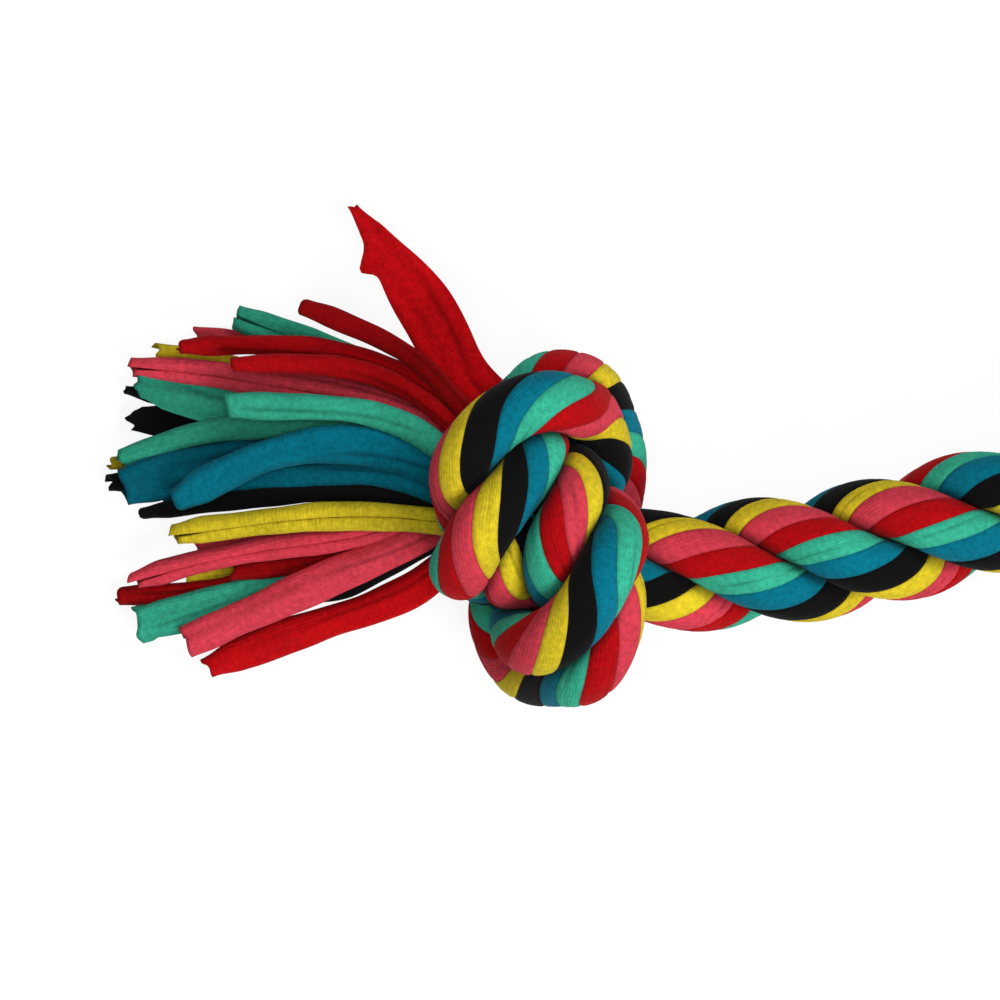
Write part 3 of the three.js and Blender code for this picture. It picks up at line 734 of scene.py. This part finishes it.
locks = {
    "upper": {"strand": 0, "strips": {
        "red_leaf": ("red", "leaf", 13.5, 1.4, [
            (-118, 27, 24), (-115.7, 36.6, 23), (-121.2, 44.8, 22), (-127.9, 53.5, 20),
            (-133.3, 59.8, 17.5), (-138.4, 66.8, 14)]),
        "red_stick": ("red", "tube", 4.4, 0.72, [
            (-119, 31.5, 26), (-122, 35.6, 26), (-130, 38.7, 26), (-138.7, 41.6, 24), (-149.2, 44.8, 20)]),
        "green_fork": ("green", "groove", 7.0, 0.85, [
            (-121, 27, 20), (-134, 31.8, 15), (-150, 36.8, 10), (-164.3, 42.8, 6.5)]),
        "pink_small": ("pink", "tube", 4.6, 0.9, [
            (-124, 27, 14), (-140, 34, 8), (-158, 38, 5), (-173.2, 39.2, 4)]),
        "red_upper": ("red", "tube", 4.6, 0.95, [
            (-122, 29, 24), (-132.2, 35.1, 21), (-149.5, 37.4, 17), (-163, 37.1, 14), (-176.2, 36.2, 12)]),
        "red_mid": ("red", "tube", 4.6, 1.0, [
            (-120, 25, 30), (-128, 31.5, 27), (-143, 33.8, 23), (-164.5, 32.2, 20)]),
        "yellow_curl": ("yellow", "tube", 4.5, 0.85, [
            (-124, 22, 16), (-145, 28, 8), (-166, 33, 5), (-181.5, 35.4, 4)]),
        "pink_upper": ("pink", "groove", 5.6, 1.08, [
            (-123, 21, 28), (-138.7, 25.5, 20), (-154, 28.5, 15), (-171, 31.3, 10), (-187.4, 31.8, 6)]),
        "green_leaf": ("green", "broad", 13.0, 0.6, [
            (-124, 18, 20), (-145, 21.5, 14), (-162, 22.5, 11), (-174, 24.8, 9), (-185.5, 28.5, 7)]),
        "black_torn": ("black", "leaf", 10.5, 1.0, [
            (-124, 16, 14), (-150, 20, 5), (-170, 24, 3), (-189, 27, 3)]),
        "pink_inner": ("pink", "tube", 4.0, 0.75, [
            (-122, 24, 24), (-135, 29.3, 21), (-150, 30.5, 16), (-160, 31, 13)]),
    }},
    "top": {"strand": 2, "strips": {
        "green_main": ("green", "tube", 5.8, 1.05, [
            (-119.5, 18.5, 32), (-132, 24, 31), (-149.5, 23.4, 27), (-165.6, 23.2, 21)]),
        "green_lower": ("green", "tube", 5.4, 0.82, [
            (-124, 16, 30), (-149.5, 19, 20), (-167, 20.5, 13), (-180, 16.5, 8), (-188.7, 11.3, 5)]),
        "blue_wide": ("blue", "tube", 8.0, 1.0, [
            (-120, 13, 32), (-138.7, 17.8, 28), (-151.7, 16, 24), (-165.5, 10.5, 19), (-177, 2.5, 15)]),
        "blue_left": ("blue", "tube", 9.6, 0.7, [
            (-124, 12, 27), (-150, 14, 14), (-165, 13, 9), (-175.5, 9.6, 7), (-188.7, 6.2, 5)]),
        "blue_lower": ("blue", "tube", 5.4, 0.9, [
            (-123, 9.5, 33), (-139, 9.2, 24), (-160.4, 6.8, 13), (-180, 2.6, 5)]),
        "black_mid": ("black", "tube", 4.0, 1.0, [
            (-121, 6.5, 31), (-141, 4.9, 23), (-154, 4.2, 17), (-175.5, 2.2, 10), (-185, -0.4, 7)]),
        "yellow_main": ("yellow", "groove", 6.2, 1.0, [
            (-121, 1.5, 32), (-132, -0.5, 29), (-143, 0, 26), (-160.4, -2, 20), (-177.5, -4.8, 16)]),
        "black_left": ("black", "tube", 6.0, 1.0, [
            (-124, 8, 24), (-150, 9, 9), (-175, 7.5, 4), (-192.3, 6.4, 3.5)]),
        "yellow_end": ("yellow", "tube", 3.5, 0.7, [
            (-124, 10, 24), (-150, 12, 7), (-175, 11, 3), (-191.8, 10.8, 3)]),
        "black_upper": ("black", "torn", 10.5, 1.0, [
            (-124, 14, 25), (-150, 17, 9), (-172, 19, 4), (-187.5, 20.5, 3)]),
    }},
    "lower": {"strand": 1, "strips": {
        "pink_mid": ("pink", "groove", 5.4, 1.14, [
            (-121.5, -3, 26), (-128, -6, 24), (-145, -7, 18), (-162.5, -7.4, 12), (-174.4, -10.4, 9),
            (-186.4, -15.2, 6)]),
        "pink_back": ("pink", "tube", 4.0, 0.8, [
            (-124, -3, 22), (-140, -5.5, 15), (-155, -6, 10), (-173, -7.2, 8)]),
        "yellow_low": ("yellow", "tube", 4.5, 0.85, [
            (-124, -5, 17), (-145, -12, 7), (-160, -15.5, 4), (-174.5, -16, 4)]),
        "red_back": ("red", "tube", 4.5, 0.65, [
            (-124, -5, 21), (-140, -10.5, 13), (-155, -12.8, 10), (-165, -14, 8)]),
        "red_low": ("red", "tube", 4.5, 0.7, [
            (-125, -5, 15), (-152, -13, 6), (-177.5, -18.6, 3.5), (-190.2, -18.6, 3)]),
        "green_low": ("green", "flare", 8.6, 0.85, [
            (-125, -7, 13), (-145, -13.5, 8), (-164.7, -19.5, 7), (-176.6, -22, 6.5), (-186, -24.8, 5.5)]),
        "pink_low": ("pink", "tube", 7.6, 1.14, [
            (-122, -5, 25), (-134.4, -10.8, 20), (-145.2, -15, 16), (-160.4, -22.2, 12), (-175.2, -28.7, 9)]),
        "red_bottom": ("red", "tube", 7.4, 1.25, [
            (-117.5, -16, 16), (-127, -21, 13), (-138, -22.6, 11), (-153.5, -26.8, 7), (-170.5, -34.4, 4)]),
        "black_low": ("black", "tube", 5.0, 1.0, [
            (-125, -6, 17), (-139, -15, 9), (-150, -17, 6), (-160, -18, 4)]),
    }},
}
crossRibbed = ("green_main", "blue_wide", "yellow_main")
tapers = {"leaf": 0.87, "broad": 0.5, "torn": 0.45}  # of strips that lie open: share of width lost at the tip
sideFlaps = {"red_leaf": (0.82, 3.6, 0.035)}  # place along the strip, reach in mm, spread along it
flapDrop = 0.35  # of a flap, as a share of its reach


def rootPlaces(goals, tail, along):
    # one strip in the middle of its strand's end and the rest round it, in the order of their goals' angles
    side = unit(np.cross(along, (0, 0, 1)))
    up = np.cross(side, along)
    flat = np.stack([(goals - tail) @ side, (goals - tail) @ up], 1)
    middle = np.linalg.norm(flat, axis=1).argmin()
    ring = [k for k in np.argsort(np.arctan2(flat[:, 1], flat[:, 0])) if k != middle]
    even = 2 * np.pi * np.arange(len(ring)) / len(ring)
    shift = np.angle(np.exp(1j * (np.arctan2(flat[ring, 1], flat[ring, 0]) - even)).mean())
    share = np.sin(np.pi / len(ring))
    small = tassel["bundle"] * share / (1 + share)
    places = np.zeros((len(goals), 3))
    for k, angle in zip(ring, even + shift):
        places[k] = (tassel["bundle"] - small) * (np.cos(angle) * side + np.sin(angle) * up)
    return places, small


def stripLines():
    # route of every strip: out of its strand's end, through its points, then all pressed apart
    found, chains = [], []
    for lock, group in locks.items():
        line = nearLines[group["strand"]]
        names = list(group["strips"])
        goals = np.array([group["strips"][name][4][0] for name in names], float)
        places, small = rootPlaces(goals, line[-4], unit(line[-3] - line[-5]))
        for name, place in zip(names, places):
            dye, shape, wide, toneandshade, route = group["strips"][name]
            start = [line[k] + share * place for k, share in tassel["roots"]]
            points = smoothLine(np.vstack([start, route]), balls["step"])
            s = np.arange(len(points)) * balls["step"]
            full = min((wide + 2 * tassel["roll"] + tassel["cloth"]) / 4, balls["most"])
            radius = small + (full - small) * eased((s - balls["swellFrom"]) / tassel["swell"])
            chains.append((points, balls["step"], radius, s < balls["held"]))
            found.append({"lock": lock, "name": name, "dye": dye, "shape": shape, "wide": wide, "toneandshade": toneandshade,
                          "root": small, "tail": tails[group["strand"]]})
    for line in nearLines:
        radius = strand["knotRadius"] - balls["give"]
        chains.append((line[balls["knotPart"]], rope["pathStep"], radius, True))
    for strip, points in zip(found, pressApart(chains, balls["smoothing"], 0.0)):
        strip["points"] = points
    return found


def stripSection(flat, roll, turn, flap, down):
    # half of a strip's width, from its middle: a flat part, an arc of the rolled edge and a flap beyond it
    onFlat, onEdge, onFlap = (np.linspace(0, 1, count) for count in tassel["parts"])
    ahead = onFlat[:-1] * flat[:, None]
    arc = onEdge[None] * turn[:, None]
    beyond = onFlap[1:] * flap[:, None]
    flat, roll, turn = flat[:, None], roll[:, None], turn[:, None]
    x = np.hstack([ahead, flat + roll * np.sin(arc), flat + roll * np.sin(turn) + beyond * np.cos(turn)])
    z = np.hstack([0 * ahead, -roll * (1 - np.cos(arc)), -roll * (1 - np.cos(turn)) - beyond * np.sin(turn)])
    angle = np.hstack([0 * ahead, arc, turn + 0 * beyond])
    width = np.hstack([ahead, flat + roll * arc, flat + roll * turn + beyond])
    x, angle, width = (np.hstack([-v[:, :0:-1], v]) for v in (x, angle, width))
    z = np.hstack([z[:, :0:-1], z])
    return x, z * down, np.sin(angle), np.cos(angle) * down, width


def bulgeShare(x, shape):
    # across a strip: one round back, or two for a strip that shows its two rolled edges
    out = np.abs(x) / np.abs(x).max(1, keepdims=True)
    return 1 - (2 * out - 1) ** 2 if shape == "groove" else 1 - out**2


def phase(rng):
    return rng.uniform(0, 6)


def stripFrame(line, s, rng):
    # direction along the strip, its upper normal and its side, leaning to and fro
    along = unit(np.gradient(line, axis=0))
    up = unit(np.array((0, 0, 1.0)) - along * along[:, 2:])
    side = np.cross(up, along)
    most, swing = tassel["lean"]
    begin, over = tassel["leanFrom"]
    lean = rng.uniform(-most, most) + swing * np.sin(s / rng.uniform(*tassel["leanLength"]) + phase(rng))
    lean = (lean * eased((s - begin) / over))[:, None]
    return along, np.cos(lean) * up + np.sin(lean) * side, np.cos(lean) * side - np.sin(lean) * up


def stripForm(strip, s, grown, toTip, rng):
    # along the strip: half of its flat part, its edge's radius and turn, and its flap
    shape, cloth = strip["shape"], tassel["cloth"]
    sway = np.sin(s / rng.uniform(*tassel["swayLength"]) + phase(rng))
    wide = strip["wide"] * (1 + tassel["widthSway"] * sway)
    if shape in tapers:
        begin, over, power = openStrip["taper"]
        beyond = np.clip((s / s[-1] - begin) / over, 0, 1)
        wide = wide * (1 - tapers[shape] * beyond**power)
        flat = np.maximum(wide / 2 - openStrip["edge"], openStrip["leastFlat"])
        roll, turn, flap = openStrip["roll"], openStrip["turn"], openStrip["flap"]
    else:
        opening = rolledStrip["opening"][shape]
        roll = tassel["roll"] * (1 + rolledStrip["widening"] * toTip * opening)
        flat = np.maximum(wide / 2 - roll - cloth / 2, rolledStrip["leastFlat"])
        turn = np.pi * (1 - opening * toTip)
        flap = rolledStrip["flap"][shape] * flat
    atRoot = (tassel["rootFlat"], strip["root"] - cloth / 2, np.pi, tassel["rootFlap"])
    return [a + (b - a) * grown for a, b in zip(atRoot, (flat, roll, turn, flap))]


def stripRelief(strip, s, width, grown, seed, rng):
    # height of ripples, lengthwise waves and a crease that comes and goes, and the crease alone for its
    # painted shade
    short = np.sin(s[:, None] / 2.7 + width * 0.9 + phase(rng))  # s over lengths in mm, width times rates
    long = np.sin(s[:, None] / 7.3 - width * 0.6 + phase(rng))
    fold = np.sin(s / rng.uniform(*creases["creaseLength"]) + phase(rng))
    fold = creases["creaseReach"] * strip["wide"] * fold
    shown = eased(0.5 + np.sin(s / 13 + phase(rng))) * eased((s[-1] - s) / cutEnd["length"])
    crease = shown[:, None] * bell(width - fold[:, None], creases["creaseWidth"])
    wave = np.sin(1.5 * width + 0.9 * np.sin(s / 17)[:, None] + seed)
    begin, over = creases["waveFrom"]
    relief = creases["ripple"] * short * long - creases["crease"] * crease
    relief = relief + creases["wave"] * eased((strip["wide"] - begin) / over) * wave
    return relief * grown[:, None], crease


def stripCut(shape, s, share, toTip, rng):
    # how far the cut stands out across the strip, and the share of width lost towards it
    jag = cutEnd["jag"].get(shape, cutEnd["usualJag"])
    slant = rng.uniform(-cutEnd["slant"], cutEnd["slant"]) * share
    out = slant + jag * np.sin(share * rng.uniform(*cutEnd["jagRate"]) + phase(rng))
    part, rate = cutEnd["fine"]
    out = out + part * jag * np.sin(share * rate + phase(rng))
    out = out * toTip[:, None] * (cutEnd["leafShare"] if shape == "leaf" else 1)
    most = rng.uniform(*cutEnd["pinch"].get(shape, cutEnd["usualPinch"]))
    return out, most * eased((s - s[-1] + cutEnd["pinchLength"]) / cutEnd["pinchLength"])[:, None]


def stripFaces(count, columns, width, s, down):
    # quads of the closed shell and its two ends, with the cloth at their corners
    _, _, quads = ringQuads(count, columns)
    clothWidth = np.concatenate([width, width[:, ::-1]], 1).ravel()
    uv = cornerCloth(clothWidth[quads], np.repeat(s, columns)[quads])
    c = np.arange(columns // 2 - 1)
    ends, endUv = [], []
    for row, flip in ((0, False), (count - 1, True)):
        a = row * columns
        face = np.stack([a + c, a + columns - 1 - c, a + columns - 2 - c, a + c + 1], 1)
        ends.append(face[:, ::-1] if flip else face)
        endUv.append(np.stack([np.stack([width[row, c], s[row] + 0 * c], 1)] * 4, 1))
    if down < 0:
        quads, ends = quads[..., ::-1], [e[:, ::-1] for e in ends]
    return np.concatenate([quads.reshape(-1, 4)] + ends), np.concatenate([uv] + endUv)


def makeStrip(strip, end, seed):
    # the section carried along the strip's line as a closed shell of jersey
    rng = np.random.default_rng(seed)
    line = softened(smoothLine(strip["points"], tassel["step"]), tassel["softening"])
    s = np.arange(len(line)) * tassel["step"]
    length = s[-1]
    shape, cloth = strip["shape"], tassel["cloth"]
    isOpen = shape in tapers
    down = -1.0 if shape == "groove" else 1.0  # a groove shows its rolled edges on top
    along, up, side = stripFrame(line, s, rng)
    grown = eased((s - tassel["swellFrom"]) / tassel["swell"])
    toTip = eased((s - length + cutEnd["length"]) / cutEnd["length"])
    flat, roll, turn, flap = stripForm(strip, s, grown, toTip, rng)
    x, z, nx, nz, width = stripSection(flat, roll, turn, flap, down)
    if not isOpen:
        z = z + tassel["bulge"] * nz * bulgeShare(x, shape) * (flat * grown)[:, None]
    middle = z + down * roll[:, None] * (openStrip if isOpen else rolledStrip)["lift"]
    relief, crease = stripRelief(strip, s, width, grown, seed, rng)
    share = width / width[:, -1:]
    if strip["name"] in sideFlaps:
        place, reach, spread = sideFlaps[strip["name"]]
        lap = eased(share) * bell(s / length - place, spread)[:, None]
        x, middle = x + reach * lap, middle - flapDrop * reach * lap
    cutOut, pinch = stripCut(shape, s, share, toTip, rng)
    x, middle = x * (1 - pinch), middle * (1 - 0.5 * pinch)  # half as much in height

    def surface(offset):
        across = x + (offset + relief) * nx
        height = middle + (offset + relief) * nz
        at = line[:, None] + across[..., None] * side[:, None] + height[..., None] * up[:, None]
        return at + cutOut[..., None] * along[:, None]

    points = np.concatenate([surface(cloth / 2), surface(-cloth / 2)[:, ::-1]], 1)
    points[..., 2] = np.maximum(points[..., 2], floorGap)
    quads, uv = stripFaces(*points.shape[:2], width, s, down)
    # painted shade: in the crease, low down between strips, on the inside of the shell and at the root by the
    # strand
    shades = tassel["shades"]
    outside = shades["crease"] * crease + shades["low"] * (1 - nz)  # painted shade: darker low down, between strips
    paintedStripShade = np.concatenate([outside, np.full(outside.shape, shades["inside"])], 1)
    paintedStripShade = np.clip(np.maximum(paintedStripShade, (shades["root"] * (1 - grown))[:, None]), 0, 1)
    flip = turned if end == "far" else 1
    name = end + "_" + strip["lock"] + "_" + strip["name"]
    ribs = 1.0 if strip["name"] in crossRibbed else 0.0
    # the strip's brightness: partly its fabric's tone, partly painted light and shade
    attributes = {"across": ribs, "seam": paintedStripShade.ravel(), "toneandshade": strip["toneandshade"]}
    points = points.reshape(-1, 3) * flip
    piece = makePiece("loose_" + name, points, quads, uv, attributes, [jerseys[strip["dye"]]])
    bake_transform(piece)
    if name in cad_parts:
        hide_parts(name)
    own = locks[strip["lock"]]["strand"]
    own = own if end == "near" else twinOf(own)


def makeTassels():
    strips = stripLines()
    for k, strip in enumerate(strips):
        for end in ("near", "far"):
            makeStrip(strip, end, k)
    print("tassels made:", 2 * len(strips), "strips")


makeTassels()

# stage: a white floor that keeps the shadow, a dim world and three soft lamps

stage = {
    "floorSize": 6.0,  # m
    "floorHeight": -0.0003,  # m
    "floorGrey": 0.85,  # as it lights other things
    "shadowGrey": 0.2,  # the part of the seen floor that takes shadows
    "floorGlow": 0.87,  # the part that doesn't
    "world": 0.03,
    "lampSize": 0.6,  # m
    "lamps": {  # place in m, power in W
        "key": ((0.5, -0.7, 1.0), 11.7),
        "side": ((0.5, 0.7, 1.0), 5.6),
        "top": ((-0.1, 0.0, 1.35), 6.6),
    },
}


def showSurface(nodes, links, seen, hidden, output):
    # one shader for what the camera sees, also by gloss or glass, and one for light on its way elsewhere
    rays = nodes.new("ShaderNodeLightPath")
    directly = rays.outputs["Is Camera Ray"]
    for kind in ("Is Glossy Ray", "Is Transmission Ray"):
        both = nodes.new("ShaderNodeMath")
        both.operation, both.use_clamp = "ADD", True
        links.new(directly, both.inputs[0])
        links.new(rays.outputs[kind], both.inputs[1])
        directly = both.outputs[0]
    mix = nodes.new("ShaderNodeMixShader")
    for k, value in enumerate((directly, hidden.outputs[0], seen.outputs[0])):
        links.new(value, mix.inputs[k])
    links.new(mix.outputs[0], nodes[output].inputs["Surface"])


def makeFloor():
    half, z = stage["floorSize"] / 2, stage["floorHeight"]
    mesh = bpy.data.meshes.new("floor")
    corners = [(-half, -half, z), (half, -half, z), (half, half, z), (-half, half, z)]
    mesh.from_pydata(corners, [], [(0, 1, 2, 3)])
    floor = placed("floor", mesh)
    material = bpy.data.materials.new("paper")
    nodes, links = nodesOf(material)
    nodes.remove(nodes["Principled BSDF"])
    plain = nodes.new("ShaderNodeBsdfDiffuse")
    plain.inputs["Color"].default_value = (stage["floorGrey"],) * 3 + (1,)
    faint = nodes.new("ShaderNodeBsdfDiffuse")
    faint.inputs["Color"].default_value = (stage["shadowGrey"],) * 3 + (1,)
    glow = nodes.new("ShaderNodeEmission")
    glow.inputs["Strength"].default_value = stage["floorGlow"]
    white = nodes.new("ShaderNodeAddShader")
    links.new(faint.outputs[0], white.inputs[0])
    links.new(glow.outputs[0], white.inputs[1])
    showSurface(nodes, links, white, plain, "Material Output")
    mesh.materials.append(material)


def makeLight(name, at, power, target):
    data = bpy.data.lights.new(name, "AREA")
    data.size, data.energy = stage["lampSize"], power
    light = placed(name, data)
    light.location = at
    light.rotation_mode = "QUATERNION"
    light.rotation_quaternion = (light.location - target).to_track_quat("Z", "Y")


def makeWorld():
    world = bpy.data.worlds.new("studio")
    nodes, links = nodesOf(world)
    soft = nodes["Background"]
    white = nodes.new("ShaderNodeBackground")
    for node, strength in ((soft, stage["world"]), (white, 1.0)):
        node.inputs["Color"].default_value = (1, 1, 1, 1)
        node.inputs["Strength"].default_value = strength
    showSurface(nodes, links, white, soft, "World Output")
    return world


def makeStage():
    scene = bpy.context.scene
    scene.view_settings.view_transform = "Standard"
    scene.world = makeWorld()
    makeFloor()
    target = (cadBox[0] + cadBox[1]) / 2
    for name, (at, power) in stage["lamps"].items():
        makeLight(name, at, power, target)


makeStage()
